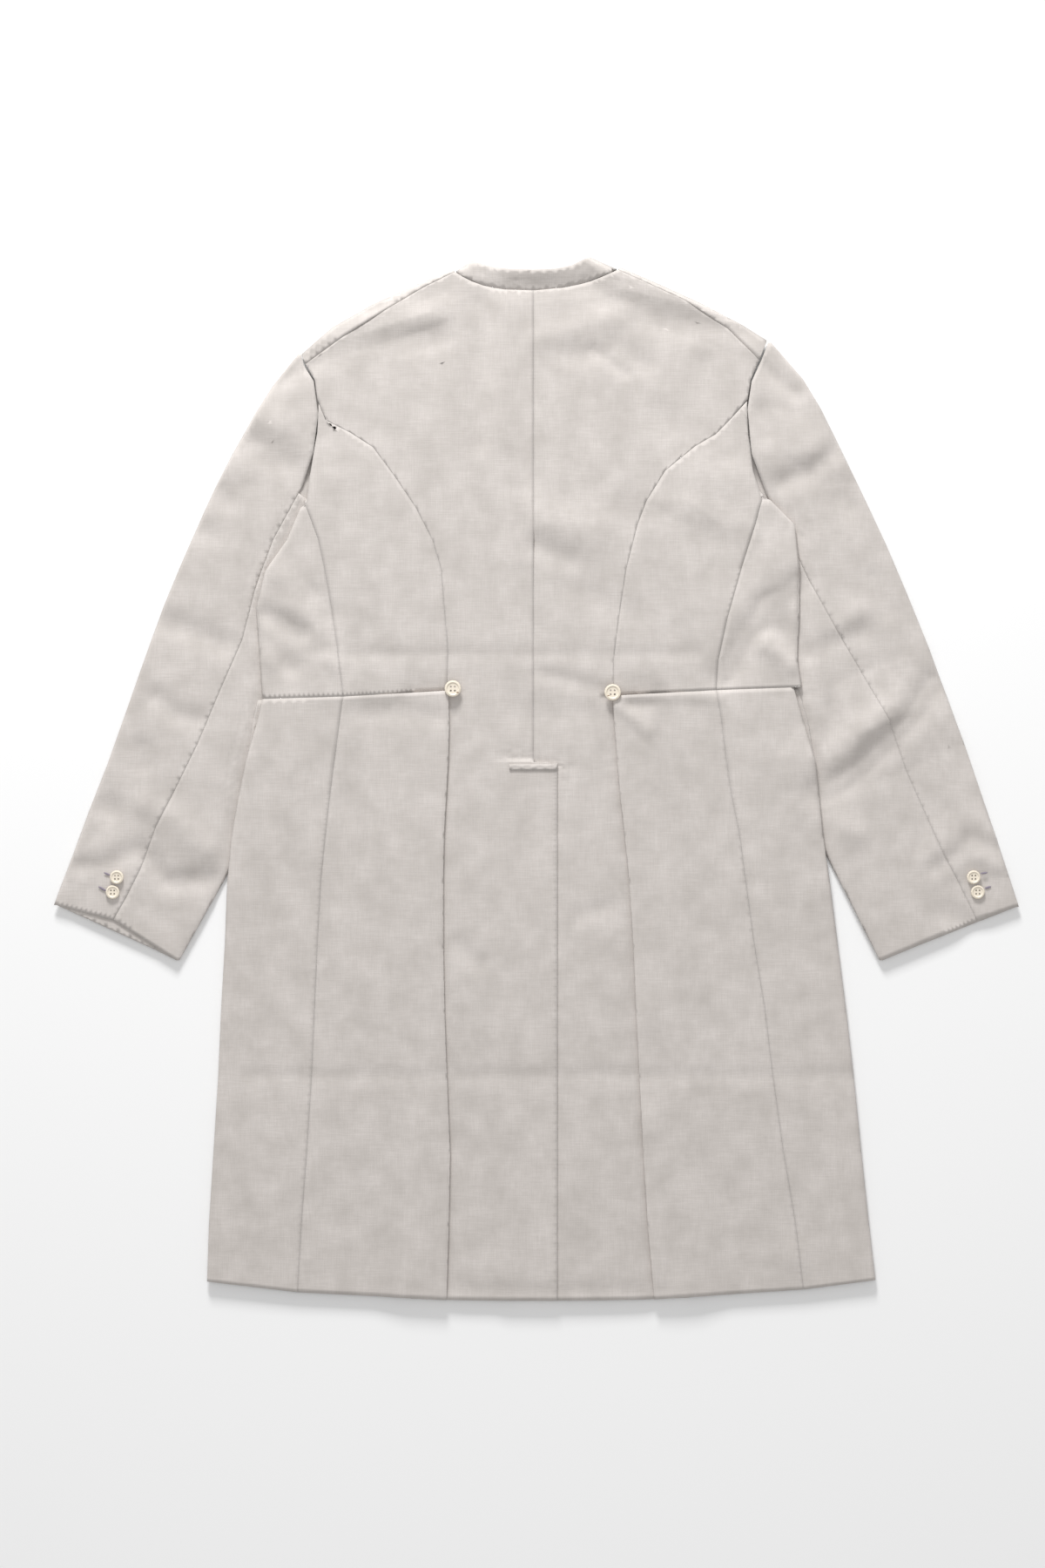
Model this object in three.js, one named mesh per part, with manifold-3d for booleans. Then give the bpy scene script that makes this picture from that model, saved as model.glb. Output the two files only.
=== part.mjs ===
// A linen frock coat laid flat on its front: +X right, +Y towards the collar, +Z up, millimetres.
// Each cut piece is one closed wall of cloth. The front and the sleeves' lower halves rest on
// Z = 0, the sleeves run under the body's sides, and the back lies on top.
import * as THREE from 'three';
import { mergeVertices } from 'three/addons/utils/BufferGeometryUtils.js';
import Module from 'manifold-3d';

const wasm = await Module();
wasm.setup();

// ---------------------------------------------------------------- driving sizes
const CLOTH = 1.0;          // wall of one layer of cloth
const GAP = 0.3;            // between layers that lie on each other, and at seams
const PLY = CLOTH + GAP;    // what one more layer adds in height
const BACK_LEVEL = 3.0;     // underside of the back where only the fronts are below
const TUCK_LIFT = 2.9;      // how far a sleeve under the body lifts the front
const TUCK_LIFT_BACK = 1.6; // and the back above it
const SLEEVE_LEVEL = 1.4;   // underside of a sleeve's upper layer
const LAP = { left: -16, right: -20 };  // centre-front edges: the right front lies on the left one
const LAP_STEP = [28, 36];  // where the right front comes down beside the left one's edge
const BACK_SEAM_X = -3;     // the centre-back seam
const VENT = { top: 17, lapTo: 22.6, under: -30, step: [33, 46] };
const WELT = { left: 29, right: 22, top: 15.6, height: 6 };
const PLEAT_DEPTH = 38;     // the skirt's fold turns under by this much
const PLEAT_SETTLE = [46, 80]; // where the pleat's extra layers die away, out from its fold
const FLAP_OUT = 5;         // how far a pocket flap's end stands out past the side fold
const COLLAR_RISE = 6;      // the collar's free edge stands up in the middle of the back
const HEM = { bottom: -562, rise: 21, reach: 360, curve: 2.5 };
const HIP_BUTTON = { radius: 9, thick: 3.2 };
const CUFF_BUTTON = { radius: 7.5, thick: 2.8 };

// ---------------------------------------------------------------- pattern tables
// x is measured out from X = 0 on either side. y is the height on the garment.
// Back seam, side seam (the armhole above it) and the side fold of the body.
const BODY = {
  left: [
    { y: 386, back: 227, side: 234.5, fold: 250 },
    { y: 373, back: 201, side: 236, fold: 250 },
    { y: 357, back: 176, side: 239, fold: 250 },
    { y: 326, back: 153, side: 244, fold: 250 },
    { y: 292, back: 130, side: 248, fold: 254 },
    { y: 257, back: 112, side: 235, fold: 269 },
    { y: 224, back: 102, side: 228, fold: 292 },
    { y: 184, back: 99, side: 221, fold: 302 },
    { y: 137, back: 95, side: 214, fold: 298 },
  ],
  right: [
    { y: 385, back: 207, side: 226.5, fold: 246 },
    { y: 371, back: 193, side: 228, fold: 246 },
    { y: 358, back: 171, side: 230, fold: 246 },
    { y: 332, back: 139, side: 233, fold: 246 },
    { y: 300, back: 119, side: 243, fold: 252 },
    { y: 274, back: 109, side: 236, fold: 278 },
    { y: 227, back: 97, side: 221, fold: 284 },
    { y: 174, back: 89, side: 206, fold: 283 },
    { y: 127, back: 83, side: 196, fold: 281 },
  ],
};

// The waist seam's height where it meets the pleat, the side seam and the side fold.
const WAIST = {
  left: { back: 96, backY: 95, side: 208, sideY: 88.5, fold: 295, foldY: 86 },
  right: { back: 83, backY: 89.5, side: 194, sideY: 95.5, fold: 286, foldY: 98.5 },
};

// The skirt: pleat fold, side seam and side fold.
const SKIRT = {
  left: [
    { y: 60, pleat: 94, side: 212, fold: 301 },
    { y: 22, pleat: 95, side: 217, fold: 312 },
    { y: -16, pleat: 97, side: 222, fold: 320 },
    { y: -60, pleat: 99.5, side: 227, fold: 328 },
    { y: -110, pleat: 100.5, side: 232, fold: 333 },
    { y: -180, pleat: 100.5, side: 236, fold: 336 },
    { y: -250, pleat: 99, side: 239, fold: 340 },
    { y: -320, pleat: 96.5, side: 242, fold: 343 },
    { y: -400, pleat: 93, side: 247, fold: 348 },
    { y: -480, pleat: 94.5, side: 253, fold: 353 },
  ],
  right: [
    { y: 60, pleat: 84, side: 200, fold: 288 },
    { y: 22, pleat: 87, side: 204.5, fold: 300 },
    { y: -16, pleat: 90, side: 210, fold: 304.5 },
    { y: -60, pleat: 95, side: 219, fold: 308.5 },
    { y: -110, pleat: 100, side: 225.5, fold: 316 },
    { y: -180, pleat: 104.5, side: 235, fold: 325 },
    { y: -250, pleat: 107.5, side: 246.5, fold: 334 },
    { y: -320, pleat: 111, side: 255, fold: 342 },
    { y: -400, pleat: 115, side: 266, fold: 350 },
    { y: -480, pleat: 120, side: 279.5, fold: 358.5 },
  ],
};
const SKIRT_HEM = {
  left: { pleat: 97, side: 257, fold: 355 },
  right: { pleat: 127, side: 288, fold: 365.5 },
};

// The back above the back seam: along the shoulder seam, then down the armhole.
const BACK_TOP = {
  left: [
    { midY: 526, x: 88, y: 546 },
    { midY: 508, x: 122, y: 529 },
    { midY: 487, x: 162, y: 505 },
    { midY: 464, x: 208, y: 476 },
    { midY: 442, x: 249, y: 447 },
    { midY: 424, x: 239, y: 430 },
    { midY: 406, x: 236, y: 409 },
  ],
  right: [
    { midY: 526, x: 88, y: 548 },
    { midY: 508, x: 124, y: 531.5 },
    { midY: 487, x: 160, y: 515 },
    { midY: 464, x: 206, y: 485 },
    { midY: 444, x: 240, y: 451 },
    { midY: 424, x: 231, y: 430 },
    { midY: 405, x: 227.5, y: 409 },
  ],
};
const NECK_CURVE = { left: 3, right: 2 };
// The side body's top corner, where it comes to a point between the back and the armhole.
const SIDE_PEAK = { left: { x: 234.6, y: 403.8 }, right: { x: 226.8, y: 406.5 } };

// The front's lower layer, from the neckline or the lap across to the shoulder fold or armhole.
const FRONT_TOP = {
  left: [
    { neckX: 87, neckY: 541, x: 248, y: 456 },
    { neckX: 81, neckY: 511, x: 232, y: 428 },
    { neckX: 61, neckY: 478, x: 221, y: 392 },
    { neckX: 27, neckY: 456, x: 219, y: 352 },
    { neckX: -16, neckY: 452, x: 224, y: 322 },
    { neckX: -16, neckY: 340, x: 249.5, y: 299 },
  ],
  right: [
    { neckX: 87, neckY: 543, x: 240, y: 465 },
    { neckX: 81, neckY: 511, x: 228, y: 432 },
    { neckX: 61, neckY: 478, x: 214, y: 392 },
    { neckX: 27, neckY: 456, x: 212, y: 352 },
    { neckX: -20, neckY: 452, x: 219, y: 330 },
    { neckX: -20, neckY: 345, x: 244.5, y: 306 },
  ],
};
// The shoulder: where the front folds over, and the seam that it then reaches.
const SHOULDER = {
  left: { foldX: [91, 128, 175, 219, 253], foldY: [548, 533, 512, 487, 458] },
  right: { foldX: [91, 130, 176, 222, 248], foldY: [551, 534, 513, 489, 472.5] },
};

// The sleeve from its head to the cuff: outer fold, the armhole (back, then front) or back seam,
// and the inner fold. The inner fold is under the body from the underarm to the skirt.
const SLEEVE_HEAD = {
  left: [
    { outX: 257, outY: 457.5, backX: 250.5, backY: 445, frontX: 251, frontY: 446 },
    { outX: 284, outY: 424, backX: 240, backY: 428, frontX: 236, frontY: 424 },
    { outX: 304, outY: 392, backX: 235.3, backY: 392, frontX: 226, frontY: 390 },
    { outX: 328, outY: 350, backX: 240.5, backY: 352, frontX: 226, frontY: 348 },
    { outX: 346, outY: 314, backX: 252, backY: 316, frontX: 240, frontY: 304 },
  ],
  right: [
    { outX: 253, outY: 470, backX: 243, backY: 452, frontX: 244, frontY: 455 },
    { outX: 287, outY: 431, backX: 232, backY: 428, frontX: 231, frontY: 426 },
    { outX: 307, outY: 398, backX: 227.6, backY: 398, frontX: 219, frontY: 392 },
    { outX: 329, outY: 354, backX: 232, backY: 350, frontX: 219, frontY: 348 },
    { outX: 344, outY: 322, backX: 248, backY: 307, frontX: 238, frontY: 304 },
  ],
};
const SLEEVE_ARM = {
  left: [
    { outX: 358, outY: 288, seamX: 284, seamY: 257, inX: 220, inY: 226 },
    { outX: 380, outY: 238, seamX: 303, seamY: 206, inX: 217, inY: 168 },
    { outX: 403, outY: 183, seamX: 317, seamY: 150, inX: 230, inY: 112 },
    { outX: 423, outY: 127, seamX: 341, seamY: 95, inX: 252, inY: 56 },
    { outX: 443, outY: 70, seamX: 365, seamY: 38, inX: 277, inY: 0 },
    { outX: 463, outY: 14, seamX: 390, seamY: -13, inX: 303, inY: -50 },
    { outX: 482, outY: -34, seamX: 410, seamY: -52, inX: 330, inY: -97 },
    { outX: 500, outY: -82, seamX: 427, seamY: -98, inX: 350, inY: -133 },
    { outX: 512, outY: -114, seamX: 442, seamY: -128, inX: 369, inY: -167 },
    { outX: 520, outY: -136, seamX: 456, seamY: -152, inX: 385, inY: -195.5 },
  ],
  right: [
    { outX: 355, outY: 299, seamX: 268, seamY: 268, inX: 216, inY: 236 },
    { outX: 377, outY: 252, seamX: 294, seamY: 214, inX: 216, inY: 184 },
    { outX: 400, outY: 198, seamX: 322, seamY: 163, inX: 234, inY: 133 },
    { outX: 422, outY: 144, seamX: 350, seamY: 115, inX: 256, inY: 78 },
    { outX: 443, outY: 88, seamX: 380, seamY: 63, inX: 276, inY: 22 },
    { outX: 461, outY: 38, seamX: 399, seamY: 8, inX: 294, inY: -28 },
    { outX: 480, outY: -18, seamX: 421, seamY: -42, inX: 312, inY: -81 },
    { outX: 497, outY: -66, seamX: 437, seamY: -78, inX: 333, inY: -122 },
    { outX: 509, outY: -104, seamX: 455, seamY: -112, inX: 352, inY: -160 },
    { outX: 520, outY: -138, seamX: 475, seamY: -153, inX: 370, inY: -195.5 },
  ],
};
const FRONT_COLUMNS = 13;         // points across every row of a front
const UNDERARM_SHARE = 0.14;      // where the under sleeve starts, down the back seam
const FRONT_SEAM_SHARE = 0.8;   // the hidden sleeve seam, from the outer fold to the inner one

// The band collar's lower half: its sewn edge and its free edge, from the centre front round.
const COLLAR_UNDER = {
  left: [
    { seamX: -16, seamY: 454, topX: -16, topY: 480 },
    { seamX: 25.5, seamY: 458, topX: 24, topY: 483 },
    { seamX: 59, seamY: 480, topX: 46, topY: 501 },
    { seamX: 79, seamY: 513, topX: 61, topY: 525 },
    { seamX: 84, seamY: 538, topX: 67, topY: 550 },
  ],
  right: [
    { seamX: -19.5, seamY: 454, topX: -19.5, topY: 480 },
    { seamX: 19, seamY: 457.5, topX: 19, topY: 481.5 },
    { seamX: 26, seamY: 458.5, topX: 25, topY: 483 },
    { seamX: 59, seamY: 480, topX: 45, topY: 501 },
    { seamX: 79, seamY: 513, topX: 57, topY: 526 },
    { seamX: 82, seamY: 538, topX: 56, topY: 549 },
  ],
};
const COLLAR_FOLD = {
  left: { seamX: 86.5, seamY: 547, topX: 70, topY: 558 },
  right: { seamX: 86.5, seamY: 549.5, topX: 58, topY: 562 },
};
const COLLAR_TOP = [
  { seamX: -82, topX: -65, topY: 556 },
  { seamX: -60, topX: -48, topY: 551 },
  { seamX: -36, topX: -30, topY: 548.5 },
  { seamX: -3, topX: -4, topY: 547.5 },
  { seamX: 25, topX: 20, topY: 548.5 },
  { seamX: 50, topX: 38, topY: 552.5 },
  { seamX: 80, topX: 53, topY: 560 },
];

// The largest folds of the upper layers: each runs between two points, and is so wide and high.
const FOLDS = [
  { x1: -238, y1: 478, x2: -108, y2: 498, width: 18, height: 3.5 },
  { x1: 85, y1: 533, x2: 222, y2: 492, width: 18, height: 3.5 },
  { x1: -318, y1: 360, x2: -262, y2: 376, width: 20, height: 4 },
  { x1: 262, y1: 332, x2: 316, y2: 358, width: 18, height: 4 },
  { x1: 325, y1: 158, x2: 395, y2: 170, width: 16, height: 3 },
  { x1: 310, y1: 8, x2: 430, y2: 112, width: 22, height: 6 },
  { x1: 425, y1: -78, x2: 498, y2: -58, width: 14, height: 3.5 },
  { x1: -480, y1: -78, x2: -352, y2: -78, width: 18, height: 4.5 },
  { x1: 268, y1: 224, x2: 205, y2: 146, width: 20, height: 4 },
  { x1: -290, y1: 190, x2: -250, y2: 178, width: 16, height: 3 },
  { x1: -10, y1: 262, x2: 58, y2: 258, width: 18, height: 2.5 },
  { x1: 150, y1: 312, x2: 196, y2: 268, width: 18, height: 3 },
  { x1: -205, y1: 84, x2: -130, y2: 86, width: 14, height: 1.5 },
];

// ---------------------------------------------------------------- small helpers
const clamp01 = (value) => Math.min(1, Math.max(0, value));
const ramp = (value, from, to) => clamp01((value - from) / (to - from));
const mix = (a, b, share) => a + (b - a) * share;
const signOf = (side) => (side === 'left' ? -1 : 1);
const sideOf = (x) => (x < 0 ? 'left' : 'right');
const SIDES = ['left', 'right'];

// The value of one column of a table at the height y; rows go from high y to low y.
function column(rows, y, yName, name) {
  if (y >= rows[0][yName]) return rows[0][name];
  for (let i = 1; i < rows.length; i += 1) {
    if (y >= rows[i][yName]) {
      const share = (rows[i - 1][yName] - y) / (rows[i - 1][yName] - rows[i][yName]);
      return mix(rows[i - 1][name], rows[i][name], share);
    }
  }
  return rows[rows.length - 1][name];
}

// How far out the hidden edge of the sleeve lies at the height y.
function tuckEdge(side, y) {
  return column(SLEEVE_ARM[side], y, 'inY', 'inX');
}

function hemY(x) {
  return HEM.bottom + HEM.rise * Math.abs(x / HEM.reach) ** HEM.curve;
}

// Height added by the folds at a point: each is a soft ridge along its line.
function foldHeight(x, y) {
  let height = 0;
  for (const fold of FOLDS) {
    const dx = fold.x2 - fold.x1;
    const dy = fold.y2 - fold.y1;
    const along = clamp01(((x - fold.x1) * dx + (y - fold.y1) * dy) / (dx * dx + dy * dy));
    const away = Math.hypot(x - fold.x1 - along * dx, y - fold.y1 - along * dy);
    height += fold.height * Math.exp(-((away / fold.width) ** 2));
  }
  return height;
}

// Underside of the front's lower layer: flat on the floor, lifted where a sleeve runs below it,
// where the right front lies on the left one, and on the skirt where the pocket flap is below it.
function frontLevel(side, x, y, onSkirt) {
  const out = Math.abs(x);
  const edge = tuckEdge(side, y);
  const length = Math.min(ramp(y, -135, -108), ramp(y, 326, 302));
  let level = TUCK_LIFT * ramp(out, edge - 26, edge - 6) * length;
  if (side === 'right') level += PLY * ramp(x, LAP_STEP[1], LAP_STEP[0]);
  if (onSkirt) level += PLY * flapShare(out, y);
  return level;
}

// 1 where the pocket flap lies under the skirt, falling to 0 just beyond it.
function flapShare(out, y) {
  return ramp(out, 142, 154) * ramp(y, 2, 20);
}

// Underside of the body's upper layer.
function backLevel(x, y) {
  const side = sideOf(x);
  const out = Math.abs(x);
  const edge = tuckEdge(side, y);
  const length = Math.min(ramp(y, -178, -140), ramp(y, 372, 328));
  const tuck = ramp(out, edge - 84, edge - 34) * length;
  const flap = Math.min(ramp(y, -26, 10), ramp(y, 128, 98));
  const pleatFold = column(SKIRT[side], y, 'y', 'pleat');
  const pleatCalm = Math.max(ramp(out, pleatFold - 6, pleatFold - 26), ramp(out, pleatFold + 46, pleatFold + 66));
  const calm = y < 97 ? pleatCalm : 1;
  return BACK_LEVEL + TUCK_LIFT_BACK * tuck + PLY * tuck * flap + foldHeight(x, y) * calm;
}

// One layer of cloth at a point, with the outside on top or underneath.
const above = (x, y, z) => ({ out: [x, y, z + CLOTH], in: [x, y, z] });
const below = (x, y, z) => ({ out: [x, y, z], in: [x, y, z + CLOTH] });

// A folded edge between a lower layer at zLow and an upper one at zHigh; inward points into the fold.
function folded(x, y, zLow, zHigh, inwardX, inwardY) {
  const middle = (zLow + zHigh + CLOTH) / 2;
  return { out: [x, y, middle], in: [x + inwardX * CLOTH, y + inwardY * CLOTH, middle] };
}

// A closed wall from rows of outside and inside points.
function wall(rows) {
  const count = rows.length;
  const width = rows[0].length;
  const positions = [];
  for (const face of ['out', 'in']) {
    for (const row of rows) {
      for (const point of row) positions.push(...point[face]);
    }
  }
  const outside = (i, j) => i * width + j;
  const inside = (i, j) => count * width + i * width + j;
  const triangles = [];
  const quad = (a, b, c, d) => triangles.push(a, b, c, a, c, d);
  for (let i = 0; i < count - 1; i += 1) {
    for (let j = 0; j < width - 1; j += 1) {
      quad(outside(i, j), outside(i + 1, j), outside(i + 1, j + 1), outside(i, j + 1));
      quad(inside(i, j), inside(i, j + 1), inside(i + 1, j + 1), inside(i + 1, j));
    }
    quad(outside(i, 0), inside(i, 0), inside(i + 1, 0), outside(i + 1, 0));
    quad(outside(i, width - 1), outside(i + 1, width - 1), inside(i + 1, width - 1), inside(i, width - 1));
  }
  for (let j = 0; j < width - 1; j += 1) {
    quad(outside(0, j), outside(0, j + 1), inside(0, j + 1), inside(0, j));
    quad(outside(count - 1, j), inside(count - 1, j), inside(count - 1, j + 1), outside(count - 1, j + 1));
  }
  return facingOut(positions, triangles);
}

// The mesh with its triangles turned so that it encloses a positive volume.
function facingOut(positions, triangles) {
  let volume = 0;
  const at = (k) => new THREE.Vector3().fromArray(positions, 3 * k);
  for (let k = 0; k < triangles.length; k += 3) {
    volume += at(triangles[k]).dot(at(triangles[k + 1]).cross(at(triangles[k + 2])));
  }
  const turned = [];
  for (let k = 0; k < triangles.length; k += 3) {
    const [a, b, c] = triangles.slice(k, k + 3);
    turned.push(...(volume > 0 ? [a, b, c] : [a, c, b]));
  }
  const geometry = new THREE.BufferGeometry();
  geometry.setAttribute('position', new THREE.Float32BufferAttribute(positions, 3));
  geometry.setIndex(turned);
  return geometry;
}

function toSolid(geometry) {
  const bare = geometry.clone();
  bare.deleteAttribute('normal');
  bare.deleteAttribute('uv');
  const merged = mergeVertices(bare, 1e-4);
  return new wasm.Manifold(new wasm.Mesh({
    numProp: 3,
    vertProperties: new Float32Array(merged.attributes.position.array),
    triVerts: new Uint32Array(merged.index.array),
  }));
}

function toGeometry(solid) {
  const mesh = solid.getMesh();
  const geometry = new THREE.BufferGeometry();
  geometry.setAttribute('position', new THREE.Float32BufferAttribute(Array.from(mesh.vertProperties), 3));
  geometry.setIndex(Array.from(mesh.triVerts));
  return geometry;
}

// ---------------------------------------------------------------- body and skirt
// Rows of the back from the collar to the hem: the centre's height, the outer edge, and the
// column next to it, which lies under the pleat's fold on the skirt.
function backRows(side) {
  const waist = WAIST[side];
  const rows = BACK_TOP[side].map((row) => ({ midY: row.midY, x: row.x, y: row.y, nextX: row.x - 8 }));
  for (const row of BODY[side]) rows.push({ midY: row.y, x: row.back, y: row.y, nextX: row.back - 8 });
  const half = GAP / 2;
  rows.push({ midY: waist.backY, x: waist.back, y: waist.backY + half, nextX: waist.back - 8 });
  const underX = waist.back + PLEAT_DEPTH;
  const waistY = mix(waist.backY, waist.sideY, PLEAT_DEPTH / (waist.side - waist.back));
  rows.push({ midY: waist.backY - 1.2, x: underX, y: waistY - 1.2, nextX: waist.back });
  for (const row of SKIRT[side]) {
    rows.push({ midY: row.y, x: row.pleat + PLEAT_DEPTH, y: row.y, nextX: row.pleat });
  }
  const hem = SKIRT_HEM[side];
  const outX = hem.pleat + PLEAT_DEPTH;
  rows.push({ midY: hemY(0), x: outX, y: hemY(outX), nextX: hem.pleat });
  return rows;
}

function backPiece(side) {
  const sign = signOf(side);
  const rows = backRows(side);
  const ventRows = side === 'left' ? [VENT.top + 13, VENT.top + 1, VENT.top] : [VENT.top - 3, VENT.top - 4];
  for (const y of ventRows) {
    const pleat = column(SKIRT[side], y, 'y', 'pleat');
    rows.push({ midY: y, x: pleat + PLEAT_DEPTH, y, nextX: pleat });
  }
  rows.sort((a, b) => b.midY - a.midY);
  const lastVentY = ventRows[ventRows.length - 1];
  return wall(rows.map((row, index) => {
    const inVent = row.midY <= lastVentY;
    let innerX = BACK_SEAM_X + sign * GAP / 2;
    if (inVent) innerX = side === 'left' ? VENT.lapTo : VENT.under;
    const near = sign * VENT.step[0];
    const far = sign * VENT.step[1];
    const next = sign * row.nextX;
    const xs = [innerX, near, far, mix(far, next, 0.35), mix(far, next, 0.7), next, sign * row.x - sign * GAP / 2];
    return xs.map((x, j) => {
      const reach = Math.abs(x - BACK_SEAM_X) / Math.abs(xs[xs.length - 1] - BACK_SEAM_X);
      const outward = Math.sign(x - BACK_SEAM_X) === sign ? clamp01(reach) : 0;
      const bend = index === 0 ? outward ** NECK_CURVE[side] : outward;
      const y = row.y === hemY(Math.abs(row.x)) ? hemY(x) : mix(row.midY, row.y, bend);
      const lapped = side === 'left' && j < 2 && row.midY <= VENT.top + 1 ? PLY : 0;
      return above(x, y, backLevel(x, y) + lapped);
    });
  }));
}

function sideBody(side) {
  const sign = signOf(side);
  const waist = WAIST[side];
  const half = GAP / 2;
  const rows = BODY[side].map((row) => ({ inX: row.back, inY: row.y, outX: row.side, outY: row.y }));
  rows[0].outX = SIDE_PEAK[side].x;
  rows[0].outY = SIDE_PEAK[side].y;
  rows.push({ inX: waist.back, inY: waist.backY + half, outX: waist.side, outY: waist.sideY + half });
  return wall(rows.map((row) => [0, 0.35, 0.7, 1].map((share) => {
    const x = sign * mix(row.inX + half, row.outX - half, share);
    const y = mix(row.inY, row.outY, share);
    return above(x, y, backLevel(x, y));
  })));
}

// The x of each column of a front's lower layer, out from the centre, at the height y.
function frontColumns(side, startX, endX, y) {
  const edge = tuckEdge(side, y);
  const wanted = [startX, ...LAP_STEP, 90, 142, 154, edge - 26, edge - 6, endX - 3];
  const xs = [startX];
  const room = 2;
  for (let j = 1; j < wanted.length; j += 1) {
    const highest = endX - 3 - (wanted.length - 1 - j) * room;
    xs.push(Math.min(highest, Math.max(wanted[j], xs[j - 1] + room)));
  }
  return xs;
}

// A front's section: the lower layer out to the side fold, and the strip that comes up over it
// to the side seam.
function frontSection(side, row, onSkirt) {
  const sign = signOf(side);
  const half = GAP / 2;
  const section = frontColumns(side, row.startX, row.foldX, row.foldY).map((out) => {
    const share = (out - row.startX) / (row.foldX - row.startX);
    const y = mix(row.startY, row.foldY, share);
    return below(sign * out, y, frontLevel(side, sign * out, y, onSkirt));
  });
  const low = section[section.length - 1].out[2];
  const high = backLevel(sign * row.foldX, row.foldY);
  section.push(folded(sign * row.foldX, row.foldY, low, high, -sign, 0));
  for (const share of [0, 0.5, 1]) {
    const x = sign * mix(row.foldX - 3, row.seamX + half, share);
    const y = mix(row.foldY, row.seamY, share);
    section.push(above(x, y, backLevel(x, y)));
  }
  return section;
}

// A row of the front above the underarm: all of its columns lie in the lower layer.
function flatSection(side, row) {
  const sign = signOf(side);
  const outs = [];
  if (row.neckX > 20) {
    for (let j = 0; j < FRONT_COLUMNS; j += 1) outs.push(mix(row.neckX, row.x, j / (FRONT_COLUMNS - 1)));
  } else {
    outs.push(...frontColumns(side, row.neckX, row.x - 8, row.y), row.x - 6, row.x - 4, row.x - 2, row.x);
  }
  return outs.map((out) => {
    const share = (out - row.neckX) / (row.x - row.neckX);
    const y = mix(row.neckY, row.y, share);
    return below(sign * out, y, frontLevel(side, sign * out, y, false));
  });
}

// The front folds over the shoulder and comes down to the shoulder seam on the back.
function shoulderRows(side) {
  const sign = signOf(side);
  const { foldX, foldY } = SHOULDER[side];
  const lowest = FRONT_TOP[side][0];
  const flat = flatSection(side, lowest);
  const top = BACK_TOP[side];
  const seam = [];
  const fold = [];
  flat.forEach((point, j) => {
    const share = (Math.abs(point.out[0]) - lowest.neckX) / (lowest.x - lowest.neckX);
    const along = share * (foldX.length - 1);
    const k = Math.min(foldX.length - 2, Math.floor(along));
    const x = sign * mix(foldX[k], foldX[k + 1], along - k);
    const y = mix(foldY[k], foldY[k + 1], along - k);
    const seamX = sign * mix(top[k].x, top[k + 1].x, along - k);
    const seamY = mix(top[k].y, top[k + 1].y, along - k) + GAP;
    fold.push(folded(x, y, point.out[2], backLevel(x, y), 0, -1));
    seam.push(above(seamX, seamY, backLevel(seamX, seamY)));
  });
  return [seam, fold, flat];
}

function frontPiece(side) {
  const waist = WAIST[side];
  const half = GAP / 2;
  const rows = shoulderRows(side);
  for (const row of FRONT_TOP[side].slice(1)) rows.push(flatSection(side, row));
  const startX = LAP[side];
  for (const row of BODY[side].filter((body) => body.y <= 300)) {
    rows.push(frontSection(side, { startX, startY: row.y, foldX: row.fold, foldY: row.y, seamX: row.side, seamY: row.y }));
  }
  rows.push(frontSection(side, {
    startX,
    startY: waist.foldY + half,
    foldX: waist.fold,
    foldY: waist.foldY + half,
    seamX: waist.side,
    seamY: waist.sideY + half,
  }));
  return wall(rows);
}

function skirtRows(side) {
  const waist = WAIST[side];
  const half = GAP / 2;
  const hem = SKIRT_HEM[side];
  const fold = side === 'left' ? waist.fold : waist.fold - 9;
  const foldY = mix(waist.sideY, waist.foldY, (fold - waist.side) / (waist.fold - waist.side)) - half;
  return [
    {
      pleat: waist.back - 1, pleatY: waist.backY - half,
      side: waist.side, sideY: waist.sideY - half,
      fold, foldY, startY: foldY,
    },
    ...SKIRT[side].map((row) => ({
      pleat: row.pleat, pleatY: row.y, side: row.side, sideY: row.y, fold: row.fold, foldY: row.y, startY: row.y,
    })),
    {
      pleat: hem.pleat, pleatY: hemY(hem.pleat),
      side: hem.side, sideY: hemY(hem.side),
      fold: hem.fold, foldY: hemY(hem.fold), startY: hemY(0),
    },
  ];
}

// The back skirt: turned under at the pleat, then out over the top to the side seam.
function skirtBack(side) {
  const sign = signOf(side);
  const half = GAP / 2;
  return wall(skirtRows(side).map((row) => {
    const yAt = (x) => mix(row.pleatY, row.sideY, clamp01((x - row.pleat) / (row.side - row.pleat)));
    const section = [];
    for (const x of [row.pleat + PLEAT_DEPTH, row.pleat + 3]) {
      section.push(below(sign * x, yAt(x), backLevel(sign * x, yAt(x)) + PLY));
    }
    const low = backLevel(sign * row.pleat, row.pleatY) + PLY;
    section.push(folded(sign * row.pleat, row.pleatY, low, low + PLY, sign, 0));
    const seam = row.side - half;
    const settled = row.pleat + PLEAT_SETTLE[1];
    for (const x of [row.pleat + 3, row.pleat + PLEAT_SETTLE[0], settled, mix(settled, seam, 0.5), seam]) {
      const lift = 2 * PLY * (1 - ramp(x - row.pleat, ...PLEAT_SETTLE));
      section.push(above(sign * x, yAt(x), backLevel(sign * x, yAt(x)) + lift));
    }
    return section;
  }));
}

function skirtFront(side) {
  const startX = LAP[side];
  return wall(skirtRows(side).map((row) => frontSection(side, {
    startX, startY: row.startY, foldX: row.fold, foldY: row.foldY, seamX: row.side, seamY: row.sideY,
  }, true)));
}

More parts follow.
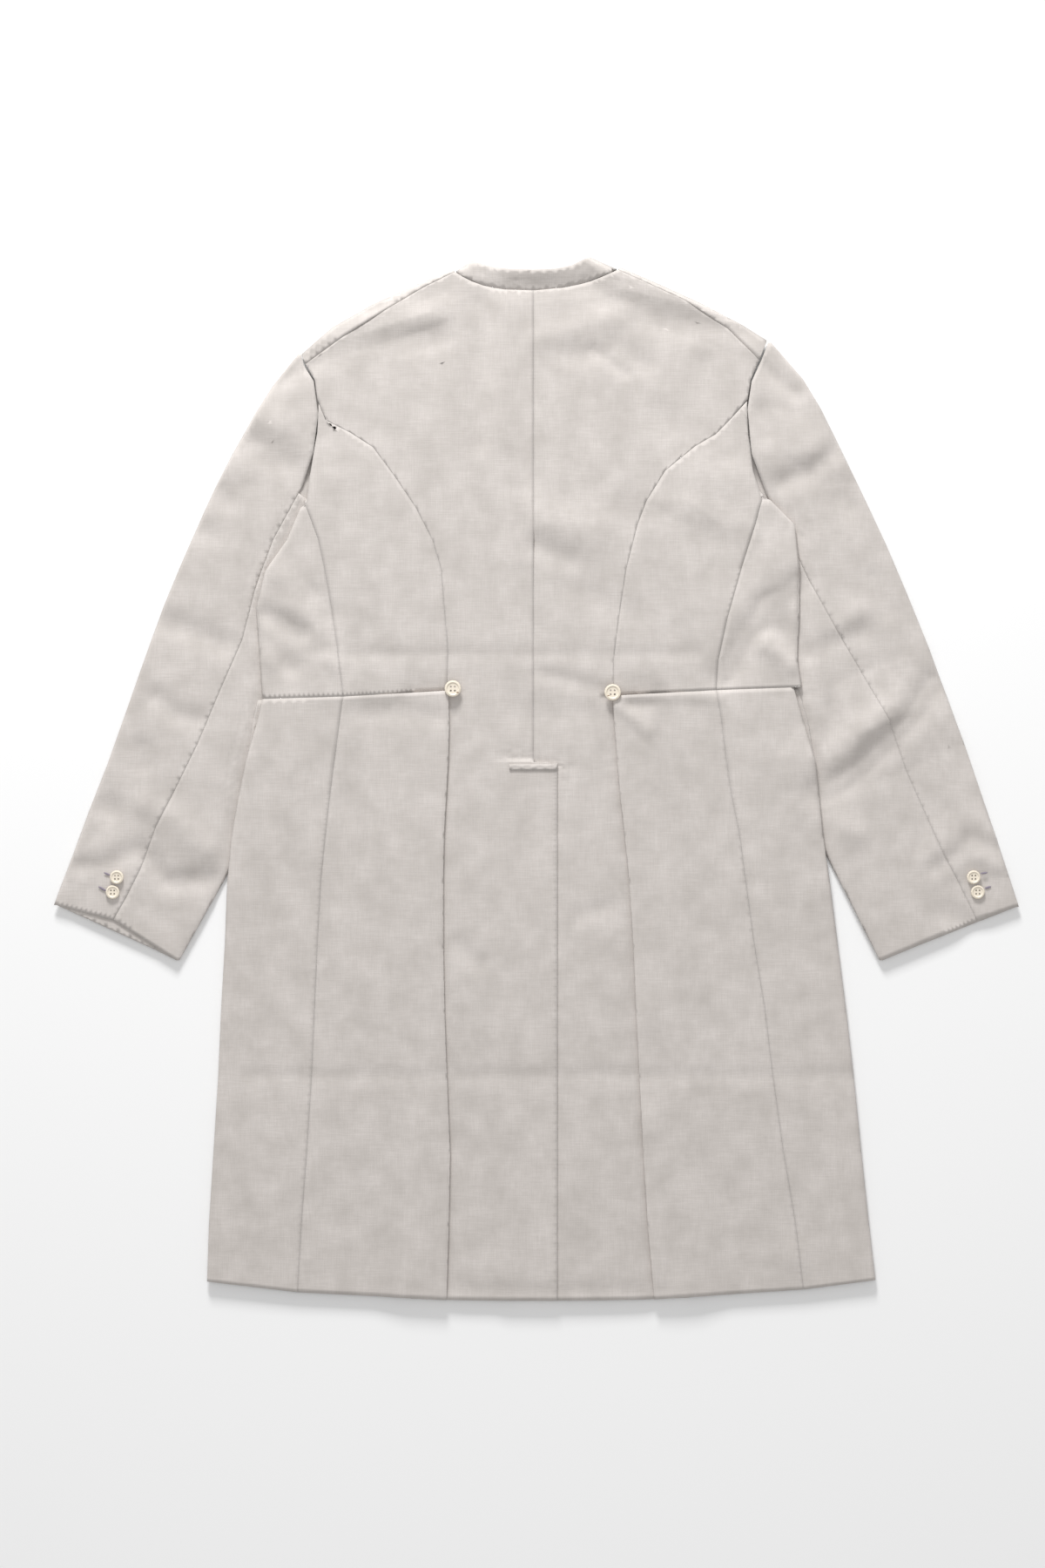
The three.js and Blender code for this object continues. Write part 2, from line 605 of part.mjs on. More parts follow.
// The pocket flap hangs from the waist seam under the skirt, and its end shows past the side fold.
function pocketFlap(side) {
  const sign = signOf(side);
  const rows = skirtRows(side).slice(0, 2);
  const low = skirtRows(side)[2];
  rows.push(low);
  return wall(rows.map((row, index) => {
    const end = row.fold + (index === 2 ? -1 : FLAP_OUT);
    const foldY = row.foldY - (index === 0 ? 1 : 0);
    return frontColumns(side, 154, row.fold, row.foldY).slice(3).concat([mix(row.fold - 3, end, 0.5), end]).map((out) => {
      const x = sign * out;
      const inside = Math.min(out, row.fold - 3);
      return below(x, foldY, frontLevel(side, sign * inside, row.foldY, false));
    });
  }));
}

// ---------------------------------------------------------------- sleeves
// Height of a sleeve's upper layer: free of folds where the body lies on it, and level with the
// body at the armhole.
function sleeveLevel(side, out, y, atArmhole) {
  if (atArmhole) return backLevel(signOf(side) * out, y);
  const bodyEdge = y > WAIST[side].foldY
    ? column(BODY[side], y, 'y', 'fold')
    : column(SKIRT[side], y, 'y', 'fold');
  const clear = ramp(out, bodyEdge + 20, bodyEdge + 45);
  return SLEEVE_LEVEL + clear * foldHeight(signOf(side) * out, y);
}

function topSleeve(side) {
  const sign = signOf(side);
  const half = GAP / 2;
  const rows = [];
  SLEEVE_HEAD[side].forEach((row, index) => {
    rows.push({ ...row, atArmhole: index < 4 ? 1 : 0 });
  });
  for (const row of SLEEVE_ARM[side]) {
    rows.push({
      outX: row.outX, outY: row.outY, backX: row.seamX + half, backY: row.seamY,
      frontX: mix(row.outX, row.inX, FRONT_SEAM_SHARE) + half,
      frontY: mix(row.outY, row.inY, FRONT_SEAM_SHARE),
      atArmhole: 0,
    });
  }
  return wall(rows.map((row) => {
    const section = [];
    for (const share of [0, 0.33, 0.67, 1]) {
      const out = mix(row.backX, row.outX - 3, share);
      const y = mix(row.backY, row.outY, share);
      const level = mix(sleeveLevel(side, out, y, false), sleeveLevel(side, out, y, true), row.atArmhole * (1 - share));
      section.push(above(sign * out, y, level));
    }
    section.push(folded(sign * row.outX, row.outY, 0, SLEEVE_LEVEL, -sign, 0));
    for (const share of [0, 0.5, 1]) {
      section.push(below(sign * mix(row.outX - 3, row.frontX, share), mix(row.outY, row.frontY, share), 0));
    }
    return section;
  }));
}

function underSleeve(side) {
  const sign = signOf(side);
  const half = GAP / 2;
  const head = SLEEVE_HEAD[side][4];
  const arm = SLEEVE_ARM[side][0];
  const rows = [{
    seamX: mix(head.backX, arm.seamX, UNDERARM_SHARE) - half,
    seamY: mix(head.backY, arm.seamY, UNDERARM_SHARE),
    inX: head.frontX - 6, inY: head.frontY - 10,
    frontX: head.frontX - GAP, frontY: head.frontY - 1,
  }];
  for (const row of SLEEVE_ARM[side]) {
    rows.push({
      seamX: row.seamX - half, seamY: row.seamY, inX: row.inX, inY: row.inY,
      frontX: mix(row.outX, row.inX, FRONT_SEAM_SHARE) - half,
      frontY: mix(row.outY, row.inY, FRONT_SEAM_SHARE),
    });
  }
  return wall(rows.map((row) => {
    const section = [];
    const edge = Math.min(3, (row.seamX - row.inX) * 0.25);
    for (const share of [0, 0.33, 0.67, 1]) {
      const out = mix(row.seamX, row.inX + edge, share);
      const y = mix(row.seamY, row.inY, share);
      section.push(above(sign * out, y, sleeveLevel(side, out, y, false)));
    }
    section.push(folded(sign * row.inX, row.inY, 0, SLEEVE_LEVEL, sign, 0));
    section.push(below(sign * (row.inX + Math.min(3, (row.frontX - row.inX) * 0.5)), row.inY, 0));
    section.push(below(sign * row.frontX, row.frontY, 0));
    return section;
  }));
}

// ---------------------------------------------------------------- collar and welt
function neckSeamY(x) {
  const side = sideOf(x - BACK_SEAM_X);
  const row = BACK_TOP[side][0];
  const reach = Math.abs(x - BACK_SEAM_X) / (row.x + signOf(side) * -BACK_SEAM_X);
  return mix(row.midY, row.y, clamp01(reach) ** NECK_CURVE[side]);
}

function collarBand() {
  const stations = [];
  const lowerStation = (side, row, z) => {
    const x = signOf(side);
    stations.push([row.seamX * x, row.seamY, row.topX * x, row.topY, z, 'low']);
  };
  COLLAR_UNDER.left.forEach((row) => lowerStation('left', row, 0));
  const fold = (side) => {
    const row = COLLAR_FOLD[side];
    const x = signOf(side);
    stations.push([row.seamX * x, row.seamY, row.topX * x, row.topY, 0, 'fold']);
  };
  fold('left');
  for (const row of COLLAR_TOP) {
    const seamY = neckSeamY(row.seamX) + 0.6;
    stations.push([row.seamX, seamY, row.topX, row.topY, backLevel(row.seamX, seamY), 'high']);
  }
  fold('right');
  [...COLLAR_UNDER.right].reverse().forEach((row) => {
    lowerStation('right', row, row.seamX <= LAP_STEP[0] ? PLY : 0);
  });
  const reach = COLLAR_FOLD.right.seamX;
  return wall(stations.map(([seamX, seamY, topX, topY, z, kind]) => [0, 0.5, 1].map((share) => {
    const x = mix(seamX, topX, share);
    const y = mix(seamY, topY, share);
    if (kind === 'low') return below(x, y, z);
    if (kind === 'fold') return folded(x, y, z, BACK_LEVEL, -Math.sign(seamX), 0);
    const stand = COLLAR_RISE * share * (1 - (seamX / reach) ** 2);
    return above(x, y, z + stand);
  })));
}

function ventWelt() {
  const xs = [-WELT.left, BACK_SEAM_X, WELT.right];
  return wall([WELT.top, WELT.top - WELT.height].map((y) => xs.map((x) => {
    const level = Math.max(...xs.map((at) => backLevel(at, y)));
    return above(x, y, level + 2 * PLY);
  })));
}

// ---------------------------------------------------------------- buttons
// A turned four-hole button: a dished face inside a rounded rim.
function buttonGeometry({ radius, thick }) {
  const profile = [
    [0, 0], [radius * 0.8, 0], [radius, thick * 0.4], [radius * 0.95, thick * 0.85],
    [radius * 0.78, thick], [radius * 0.62, thick * 0.72], [0, thick * 0.66],
  ].map(([r, z]) => new THREE.Vector2(r, z));
  const disc = new THREE.LatheGeometry(profile, 16).rotateX(Math.PI / 2);
  let solid = toSolid(disc);
  const holeRadius = radius * 0.13;
  const spread = radius * 0.24;
  for (const [dx, dy] of [[1, 1], [-1, 1], [-1, -1], [1, -1]]) {
    const hole = new THREE.CylinderGeometry(holeRadius, holeRadius, thick * 4, 6).rotateX(Math.PI / 2);
    hole.translate(dx * spread, dy * spread, 0);
    solid = solid.subtract(toSolid(hole));
  }
  return toGeometry(solid);
}

// ---------------------------------------------------------------- the coat
const linen = () => new THREE.MeshStandardMaterial({ color: 0xcac4c0, roughness: 0.9, metalness: 0 });
const horn = () => new THREE.MeshStandardMaterial({ color: 0xd8cdbd, roughness: 0.45, metalness: 0 });

const coat = new THREE.Group();

function addPiece(name, geometry, material) {
  const mesh = new THREE.Mesh(geometry, material);
  mesh.name = name;
  coat.add(mesh);
  return mesh;
}

for (const side of SIDES) {
  addPiece(`back_${side}`, backPiece(side), linen());
  addPiece(`side_body_${side}`, sideBody(side), linen());
  addPiece(`front_${side}`, frontPiece(side), linen());
  addPiece(`skirt_back_${side}`, skirtBack(side), linen());
  addPiece(`skirt_front_${side}`, skirtFront(side), linen());
  addPiece(`top_sleeve_${side}`, topSleeve(side), linen());
  addPiece(`under_sleeve_${side}`, underSleeve(side), linen());
  addPiece(`pocket_flap_${side}`, pocketFlap(side), linen());
}
addPiece('collar_band', collarBand(), linen());
addPiece('vent_welt', ventWelt(), linen());

const BUTTONS = [
  { name: 'hip_button_left', x: -90, y: 97, size: HIP_BUTTON },
  { name: 'hip_button_right', x: 82, y: 93, size: HIP_BUTTON },
  { name: 'cuff_button_left_upper', x: -452, y: -106, size: CUFF_BUTTON },
  { name: 'cuff_button_left_lower', x: -456.5, y: -122, size: CUFF_BUTTON },
  { name: 'cuff_button_right_upper', x: 471, y: -106, size: CUFF_BUTTON },
  { name: 'cuff_button_right_lower', x: 475.5, y: -122, size: CUFF_BUTTON },
];

// The highest cloth under a button, felt from above at its middle and round its rim.
function clothTop(x, y, radius) {
  const down = new THREE.Vector3(0, 0, -1);
  const feeler = new THREE.Raycaster();
  let top = 0;
  for (let step = 0; step <= 16; step += 1) {
    const turn = (step / 8) * Math.PI;
    const reach = step === 16 ? 0 : radius;
    feeler.set(new THREE.Vector3(x + reach * Math.cos(turn), y + reach * Math.sin(turn), 100), down);
    for (const hit of feeler.intersectObjects(cloth, false)) top = Math.max(top, hit.point.z);
  }
  return top;
}

const cloth = [...coat.children];
for (const { name, x, y, size } of BUTTONS) {
  const button = addPiece(name, buttonGeometry(size), horn());
  button.position.set(x, y, clothTop(x, y, size.radius) + GAP);
}

export default coat;
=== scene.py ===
# A linen frock coat lying on its front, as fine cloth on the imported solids. Metres, +Z up.
import math

import bmesh
import bpy
import numpy as np
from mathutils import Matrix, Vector
from mathutils.bvhtree import BVHTree


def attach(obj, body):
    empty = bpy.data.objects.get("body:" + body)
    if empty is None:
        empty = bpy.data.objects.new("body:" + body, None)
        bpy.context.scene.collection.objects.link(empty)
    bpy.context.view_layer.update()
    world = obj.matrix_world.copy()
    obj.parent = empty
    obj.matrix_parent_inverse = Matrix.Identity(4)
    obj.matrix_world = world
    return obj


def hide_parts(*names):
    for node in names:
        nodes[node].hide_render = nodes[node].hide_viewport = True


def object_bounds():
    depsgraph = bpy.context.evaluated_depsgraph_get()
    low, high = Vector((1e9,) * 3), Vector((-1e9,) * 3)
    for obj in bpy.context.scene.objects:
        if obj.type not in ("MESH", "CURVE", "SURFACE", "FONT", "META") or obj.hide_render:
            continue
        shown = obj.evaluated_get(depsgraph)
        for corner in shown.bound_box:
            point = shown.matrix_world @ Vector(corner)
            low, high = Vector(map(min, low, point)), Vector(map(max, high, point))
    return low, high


MM = 0.001
EDGE = 7 * MM               # longest edge of the fine cloth
CELL = 2 * MM               # cell of the height map of the coat's top
SETTLED = 3.8 * MM          # how far the top layer stands clear of what it lies on
TOP_WALL = 1.4 * MM         # cloth this close to the top moves wholly with the folds
UNDER = 2.6 * MM            # and cloth this far below it doesn't move
EASE = 10                   # cells over which a fold dies away beside a layer lying on it
SHARP = math.radians(50)    # folds in a mesh sharper than this stay crisp
WAVER = 0.5                 # height of the slow waver of the whole top, in mm
WAVER_X, BEND_Y, WAVER_Y = 0.071, 0.13, 0.094   # its lengths across, of its bends, and along
LEAST_LIFT = 0.2 * MM       # no trough goes deeper than this above the layer's own place
PASSES = 9                  # most times that long edges are halved
UPRIGHT = 0.35              # a point whose normal leans out by this share is on an edge
BAR_HALF_WIDTH = 1.1 * MM   # a worked buttonhole's bar of thread
BAR_HALF_HEIGHT = 0.5 * MM
BAR_ABOVE = 0.7 * MM
BAR_NEAR = 9 * MM           # cloth within this of a buttonhole sets its height
DEPTH = 1.25                # every fold's height is its table height times this
SPREAD = 1.45               # and its width its table width times this
SEAM_CLOSE = 0.13 * MM      # each edge spreads by this much, so that sewn edges nearly meet
LINEN = (0.64, 0.595, 0.565, 1)
LINEN_DARK = (0.47, 0.435, 0.405, 1)
HORN = (0.80, 0.72, 0.60, 1)
HORN_SPOT = (0.22, 0.12, 0.06, 1)
THREAD = (0.30, 0.26, 0.32, 1)

# Folds: height (a trough is negative) and width, then the points the fold runs through, in mm.
FOLDS = [
    # back and shoulders
    (-2.5, 12, (-247, 457), (-203, 478), (-107, 476)),
    (1.5, 9, (-235, 474), (-110, 492)),
    (-2.5, 11, (56, 532), (96, 512), (135, 495), (221, 484)),
    (-1.5, 9, (-62, 510), (-60, 362)),
    (1.0, 10, (-39, 510), (-39, 365)),
    (1.5, 9, (3, 474), (97, 502)),
    (-1.5, 8, (35, 456), (58, 455)),
    (-1.5, 8, (86, 465), (118, 446)),
    (-1.5, 5, (63, 462), (96, 437)),
    (-1.5, 9, (184, 447), (195, 404), (208, 350)),
    (1.5, 14, (176, 328), (186, 318)),
    (-1.2, 12, (135, 390), (145, 382)),
    (-1.2, 12, (100, 295), (108, 286)),
    (-1.2, 12, (146, 315), (154, 309)),
    (-1.5, 12, (190, 262), (198, 253)),
    # bodice
    (2.0, 16, (-4, 290), (58, 262)),
    (-2.0, 9, (-2, 252), (35, 236)),
    (-1.5, 11, (38, 204), (103, 178)),
    (-3.5, 10, (283, 211), (227, 154), (201, 109)),
    (-3.0, 9, (249, 186), (290, 136)),
    (3.0, 8, (250, 143), (274, 123)),
    (2.0, 9, (-286, 226), (-278, 220)),
    (-3.0, 8, (-291, 178), (-255, 157)),
    (-1.5, 9, (-239, 196), (-223, 178)),
    (-2.0, 8, (-270, 124), (-262, 120)),
    (2.0, 8, (-291, 129), (-286, 125)),
    (1.5, 7, (-223, 127), (-217, 122)),
    (-0.8, 5, (-198, 134), (173, 134)),
    (-1.5, 6, (3, 114), (53, 101), (80, 93)),
    # waist
    (1.2, 4, (94, 90), (196, 87)),
    (1.8, 4, (86, 79), (121, 51)),
    (-1.5, 5, (103, 79), (121, 78)),
    (-1.8, 10, (-194, 72), (-146, 72)),
    (-1.5, 8, (-123, 68), (-109, 67)),
    (-1.2, 12, (-15, 70), (60, 70)),
    # left sleeve
    (-2.0, 7, (-280, 427), (-245, 447)),
    (2.5, 12, (-305, 392), (-285, 386)),
    (-3.0, 13, (-318, 362), (-262, 340)),
    (-1.5, 9, (-343, 306), (-336, 300)),
    (-1.5, 9, (-357, 266), (-350, 262)),
    (-2.5, 10, (-402, 170), (-337, 145)),
    (-2.0, 8, (-408, 87), (-391, 70), (-366, 64)),
    (-2.0, 8, (-425, 33), (-424, 16)),
    (-2.2, 9, (-462, -30), (-457, -33)),
    (2.0, 9, (-423, -28), (-386, -46), (-356, -76)),
    (-3.0, 8, (-490, -94), (-457, -90), (-429, -76), (-417, -86), (-400, -111), (-353, -109)),
    # right sleeve
    (-2.0, 6, (244, 444), (279, 415)),
    (-1.5, 8, (242, 396), (247, 372)),
    (-3.0, 8, (264, 319), (296, 331), (321, 353)),
    (-1.5, 10, (329, 301), (337, 294)),
    (-1.5, 7, (364, 216), (379, 180)),
    (1.5, 10, (332, 165), (346, 180)),
    (-2.0, 9, (318, 146), (348, 158)),
    (3.0, 12, (382, 76), (321, 24)),
    (-4.0, 11, (430, 102), (412, 76), (386, 48), (356, 18), (323, -8), (305, -14)),
    (2.0, 10, (335, -54), (345, -60)),
    (-2.5, 7, (498, -74), (468, -64), (455, -77), (431, -96)),
    (1.5, 6, (481, -86), (496, -96)),
    (-1.5, 8, (443, -144), (477, -161)),
    # skirt
    (-0.8, 6, (-311, -320), (342, -320)),
    (-1.2, 7, (-86, -178), (-61, -199)),
    (-1.2, 7, (46, -147), (79, -137)),
    (1.2, 10, (116, -250), (117, -262)),
    (1.2, 10, (118, -367), (119, -377)),
    (1.5, 9, (284, -510), (284, -516)),
    (-1.0, 6, (-81, -552), (135, -552)),
]

# Each cut piece: its flat width, length and area as it shows, in metres and square metres.
CUTS = {
    "back": (0.26, 1.13, 0.18),
    "side_body": (0.16, 0.31, 0.035),
    "front": (0.42, 0.47, 0.15),
    "skirt_back": (0.24, 0.66, 0.14),
    "skirt_front": (0.50, 0.66, 0.30),
    "top_sleeve": (0.30, 0.66, 0.13),
    "under_sleeve": (0.24, 0.52, 0.08),
    "pocket_flap": (0.15, 0.08, 0.010),
}
BUTTONHOLES = {
    "top_sleeve_left": [((-466, -101), (-459, -104)), ((-472, -116), (-463, -121))],
    "top_sleeve_right": [((478, -102), (486, -101)), ((483, -118), (490, -116))],
}


def fold_field(x, y):
    """Height of the folds at each point, in metres: soft ridges and troughs, and a slow waver."""
    bends = 1.3 * np.sin(y / BEND_Y)
    total = WAVER * np.sin(x / WAVER_X + bends) * np.sin(y / WAVER_Y + 0.7)
    for height, width, *points in FOLDS:
        nearest = np.full(x.shape, np.inf)
        for (x1, y1), (x2, y2) in zip(points, points[1:]):
            ax, ay, dx, dy = x1 * MM, y1 * MM, (x2 - x1) * MM, (y2 - y1) * MM
            along = np.clip(((x - ax) * dx + (y - ay) * dy) / (dx * dx + dy * dy), 0, 1)
            nearest = np.minimum(nearest, np.hypot(x - ax - along * dx, y - ay - along * dy))
        total += DEPTH * height * np.exp(-((nearest / (SPREAD * width * MM)) ** 2))
    return np.maximum(total * MM + SETTLED, LEAST_LIFT)


def top_map(nodes, low, high):
    """The height of the highest cloth over a grid of cells."""
    points, faces = [], []
    for node in nodes:
        start = len(points)
        points += [node.matrix_world @ v.co for v in node.data.vertices]
        faces += [[start + i for i in p.vertices] for p in node.data.polygons]
    tree = BVHTree.FromPolygons(points, faces)
    wide = int((high.x - low.x) / CELL) + 3
    tall = int((high.y - low.y) / CELL) + 3
    grid = np.zeros((tall, wide))
    down = Vector((0, 0, -1))
    for row in range(tall):
        for col in range(wide):
            start = Vector((low.x + (col - 1) * CELL, low.y + (row - 1) * CELL, 1))
            hit = tree.ray_cast(start, down)[0]
            grid[row, col] = hit.z if hit else 0
    return grid


def lift(co, grid, low):
    """How far each point rises: the fold field, for cloth at the top of the coat only."""
    col = np.clip(np.rint((co[:, 0] - low.x) / CELL).astype(int) + 1, 0, grid.shape[1] - 1)
    row = np.clip(np.rint((co[:, 1] - low.y) / CELL).astype(int) + 1, 0, grid.shape[0] - 1)
    share = np.zeros(len(co))
    steps = [(0, 0)] + [
        (round(reach * math.cos(turn)), round(reach * math.sin(turn)))
        for reach in (EASE // 3, EASE // 2, EASE)
        for turn in np.arange(8) * math.pi / 4
    ]
    for dx, dy in steps:
        top = grid[np.clip(row + dy, 0, grid.shape[0] - 1), np.clip(col + dx, 0, grid.shape[1] - 1)]
        share += np.clip((UNDER - (top - co[:, 2])) / (UNDER - TOP_WALL), 0, 1)
    share /= len(steps)
    return fold_field(co[:, 0], co[:, 1]) * share ** 2


def fine_copy(node, name):
    """A copy of a node's mesh whose edges are no longer than EDGE."""
    mesh = node.data.copy()
    mesh.transform(node.matrix_world)
    shape = bmesh.new()
    shape.from_mesh(mesh)
    bmesh.ops.remove_doubles(shape, verts=shape.verts, dist=1e-6)
    bmesh.ops.triangulate(shape, faces=shape.faces)
    for _ in range(PASSES):
        long_edges = [e for e in shape.edges if e.calc_length() > EDGE]
        if not long_edges:
            break
        bmesh.ops.subdivide_edges(shape, edges=long_edges, cuts=1)
        bmesh.ops.triangulate(shape, faces=[f for f in shape.faces if len(f.verts) > 3])
    shape.to_mesh(mesh)
    shape.free()
    mesh.materials.clear()
    piece = bpy.data.objects.new(name, mesh)
    bpy.context.scene.collection.objects.link(piece)
    return piece


def points_of(mesh):
    flat = np.empty(len(mesh.vertices) * 3)
    mesh.vertices.foreach_get("co", flat)
    return flat.reshape(-1, 3)


def close_seams(co, mesh):
    """Spreads the upright edges of the cloth sideways."""
    flat = np.empty(len(mesh.vertices) * 3)
    mesh.vertices.foreach_get("normal", flat)
    sideways = flat.reshape(-1, 3)[:, :2]
    length = np.hypot(sideways[:, 0], sideways[:, 1])
    edge = length > UPRIGHT
    co[edge, :2] += sideways[edge] / length[edge, None] * SEAM_CLOSE


def smooth(mesh):
    mesh.polygons.foreach_set("use_smooth", [True] * len(mesh.polygons))
    mesh.set_sharp_from_angle(angle=SHARP)
    mesh.update()


def node_of(tree, kind, **values):
    made = tree.nodes.new(kind)
    for key, value in values.items():
        if hasattr(made, key):
            setattr(made, key, value)
        else:
            made.inputs[key].default_value = value
    return made


def material(name, roughness):
    made = bpy.data.materials.new(name)
    made.use_nodes = True
    shader = made.node_tree.nodes["Principled BSDF"]
    shader.inputs["Roughness"].default_value = roughness
    return made, made.node_tree, shader


def linen(name):
    """Slubbed plain weave: thick and thin threads both ways, a faint mottle and a soft sheen."""
    made, tree, shader = material(name, 0.88)
    link = tree.links.new
    shader.inputs["Sheen Weight"].default_value = 0.15
    place = node_of(tree, "ShaderNodeTexCoord")
    threads = []
    for stretch in ((60, 1500, 60), (1500, 60, 60)):
        scaled = node_of(tree, "ShaderNodeMapping", Scale=stretch)
        link(place.outputs["Object"], scaled.inputs["Vector"])
        noise = node_of(tree, "ShaderNodeTexNoise", Scale=1.0, Detail=3.0)
        link(scaled.outputs["Vector"], noise.inputs["Vector"])
        threads.append(noise)
    weave = node_of(tree, "ShaderNodeMath", operation="ADD")
    link(threads[0].outputs["Fac"], weave.inputs[0])
    link(threads[1].outputs["Fac"], weave.inputs[1])
    mottle = node_of(tree, "ShaderNodeTexNoise", Scale=40.0, Detail=8.0)
    link(place.outputs["Object"], mottle.inputs["Vector"])
    blend = node_of(tree, "ShaderNodeMath", operation="MULTIPLY")
    link(weave.outputs[0], blend.inputs[0])
    link(mottle.outputs["Fac"], blend.inputs[1])
    tone = node_of(tree, "ShaderNodeValToRGB")
    tone.color_ramp.elements[0].position = 0.12
    tone.color_ramp.elements[0].color = LINEN_DARK
    tone.color_ramp.elements[1].position = 0.84
    tone.color_ramp.elements[1].color = LINEN
    link(blend.outputs[0], tone.inputs["Fac"])
    link(tone.outputs["Color"], shader.inputs["Base Color"])
    bump = node_of(tree, "ShaderNodeBump", Strength=0.35, Distance=0.0004)
    link(weave.outputs[0], bump.inputs["Height"])
    link(bump.outputs["Normal"], shader.inputs["Normal"])
    return made


def horn():
    """Cream horn with brown spots."""
    made, tree, shader = material("horn", 0.4)
    place = node_of(tree, "ShaderNodeTexCoord")
    noise = node_of(tree, "ShaderNodeTexNoise", Scale=170.0, Detail=3.0)
    tone = node_of(tree, "ShaderNodeValToRGB")
    tone.color_ramp.elements[0].position = 0.27
    tone.color_ramp.elements[0].color = HORN_SPOT
    tone.color_ramp.elements[1].position = 0.33
    tone.color_ramp.elements[1].color = HORN
    tree.links.new(place.outputs["Object"], noise.inputs["Vector"])
    tree.links.new(noise.outputs["Fac"], tone.inputs["Fac"])
    tree.links.new(tone.outputs["Color"], shader.inputs["Base Color"])
    return made


def thread():
    made, tree, shader = material("thread", 0.8)
    noise = node_of(tree, "ShaderNodeTexNoise", Scale=900.0)
    tone = node_of(tree, "ShaderNodeValToRGB")
    tone.color_ramp.elements[0].color = tuple(0.7 * c for c in THREAD[:3]) + (1,)
    tone.color_ramp.elements[1].color = THREAD
    tree.links.new(noise.outputs["Fac"], tone.inputs["Fac"])
    tree.links.new(tone.outputs["Color"], shader.inputs["Base Color"])
    return made


def buttonhole(name, start, end, top, paint):
    """A worked buttonhole: a low rounded bar of thread on the cloth."""
    a, b = Vector((*start, 0)) * MM, Vector((*end, 0)) * MM
    mesh = bpy.data.meshes.new(name)
    shape = bmesh.new()
    bmesh.ops.create_uvsphere(shape, u_segments=16, v_segments=8, radius=1)
    shape.to_mesh(mesh)
    shape.free()
    along = (b - a).normalized()
    across = Vector((-along.y, along.x, 0))
    middle = (a + b) / 2 + Vector((0, 0, top + BAR_ABOVE))
    for v in mesh.vertices:
        v.co = (
            middle + along * v.co.x * (b - a).length / 2 + across * v.co.y * BAR_HALF_WIDTH
            + Vector((0, 0, v.co.z * BAR_HALF_HEIGHT))
        )
    mesh.materials.append(paint)
    smooth(mesh)
    piece = bpy.data.objects.new(name, mesh)
    bpy.context.scene.collection.objects.link(piece)
    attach(piece, "root")
    return piece


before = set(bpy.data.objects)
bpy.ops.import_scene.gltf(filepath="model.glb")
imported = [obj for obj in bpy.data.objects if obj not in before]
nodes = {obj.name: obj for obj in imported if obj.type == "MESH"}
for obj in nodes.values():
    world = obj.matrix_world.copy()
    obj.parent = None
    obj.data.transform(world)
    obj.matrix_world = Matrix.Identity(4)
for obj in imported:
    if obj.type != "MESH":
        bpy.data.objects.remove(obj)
cad_low, cad_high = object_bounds()
cloth_names = [name for name in nodes if "button" not in name]
grid = top_map([nodes[name] for name in cloth_names], cad_low, cad_high)
cloth_paint, horn_paint, thread_paint = linen("linen"), horn(), thread()
pieces = {}

for name, node in nodes.items():
    if name in cloth_names:
        piece = fine_copy(node, f"{name}_look")
    else:
        mesh = node.data.copy()
        mesh.transform(node.matrix_world)
        mesh.materials.clear()
        piece = bpy.data.objects.new(f"{name}_look", mesh)
        bpy.context.scene.collection.objects.link(piece)
    co = points_of(piece.data)
    if name in cloth_names:
        rise = lift(co, grid, cad_low)
        close_seams(co, piece.data)
        co[:, 2] += rise
        piece.data.materials.append(cloth_paint)
    else:
        co[:, 2] += fold_field(co[:, 0], co[:, 1]).max()
        piece.data.materials.append(horn_paint)
    piece.data.vertices.foreach_set("co", co.ravel())
    smooth(piece.data)
    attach(piece, "root")
    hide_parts(name)
    pieces[name] = piece

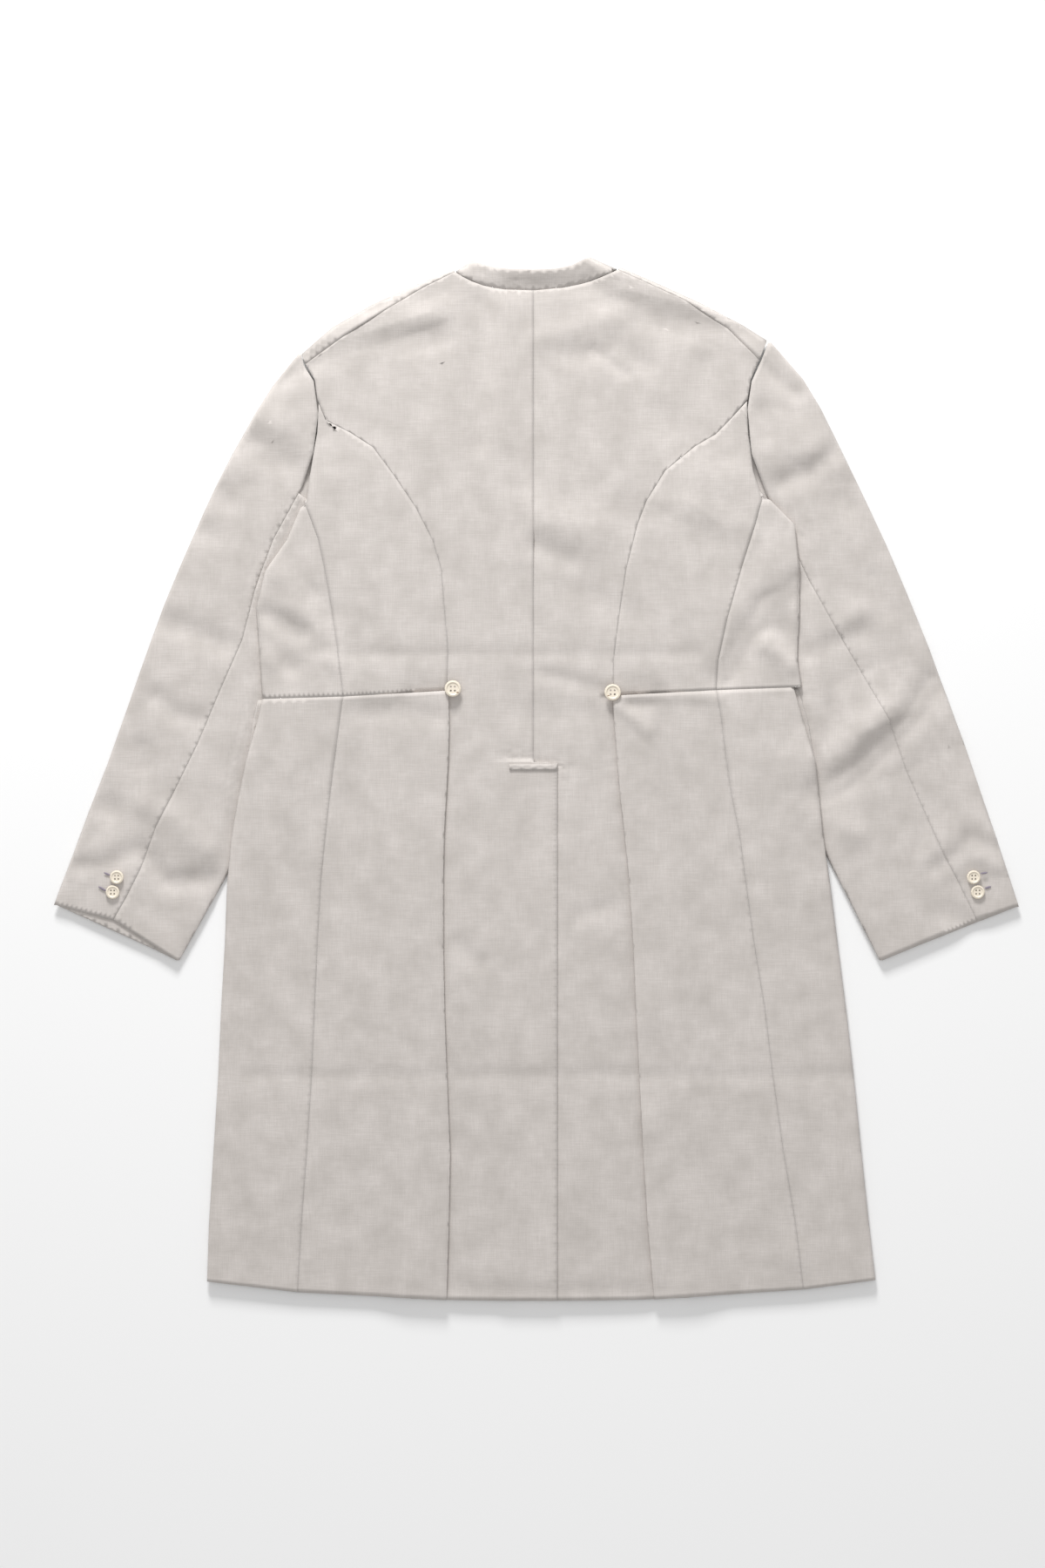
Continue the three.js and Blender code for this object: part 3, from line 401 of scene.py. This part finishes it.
floor_mesh = bpy.data.meshes.new("floor")
floor_mesh.from_pydata([(-6, -6, 0), (6, -6, 0), (6, 6, 0), (-6, 6, 0)], [], [(0, 1, 2, 3)])
floor = bpy.data.objects.new("floor", floor_mesh)
floor.location.z = -0.2 * MM
bpy.context.scene.collection.objects.link(floor)
floor_paint, _, floor_shader = material("paper", 0.9)
floor_shader.inputs["Base Color"].default_value = (0.9, 0.9, 0.9, 1)
floor_mesh.materials.append(floor_paint)

holes = {name: [] for name in nodes}
for name, spans in BUTTONHOLES.items():
    co = points_of(pieces[name].data)
    for number, (start, end) in enumerate(spans, 1):
        middle = (np.array(start) + np.array(end)) / 2 * MM
        near = np.hypot(co[:, 0] - middle[0], co[:, 1] - middle[1]) < BAR_NEAR
        made = buttonhole(f"buttonhole_{name}_{number}", start, end, co[near, 2].max(), thread_paint)
        holes[name].append(made)

for side in ("left", "right"):
    for kind, (width, length, area) in CUTS.items():
        name = f"{kind}_{side}"

# ---------------------------------------------------------------- light and camera
scene = bpy.context.scene
scene.view_settings.view_transform = "Standard"
world = bpy.data.worlds.new("studio")
scene.world = world
world.use_nodes = True
world.node_tree.nodes["Background"].inputs["Color"].default_value = (1, 1, 1, 1)
world.node_tree.nodes["Background"].inputs["Strength"].default_value = 0.50


def soft_light(name, place, size, power):
    lamp = bpy.data.lights.new(name, "AREA")
    lamp.size = size
    lamp.energy = power
    made = bpy.data.objects.new(name, lamp)
    made.location = place
    made.rotation_euler = (-Vector(place)).to_track_quat("-Z", "Y").to_euler()
    scene.collection.objects.link(made)


soft_light("key", (-0.5, 3.4, 1.5), 0.9, 150)
soft_light("top", (0, 0, 4.5), 3.0, 40)

AIM = (-15 * MM, -5.6 * MM)
LONG_SIDE = 1.692           # what the picture's long side covers
lens = bpy.data.cameras.new("camera")
lens.lens = 85
lens.sensor_width = 36
camera = bpy.data.objects.new("camera", lens)
camera.location = (*AIM, LONG_SIDE * lens.lens / lens.sensor_width)
scene.collection.objects.link(camera)
scene.camera = camera
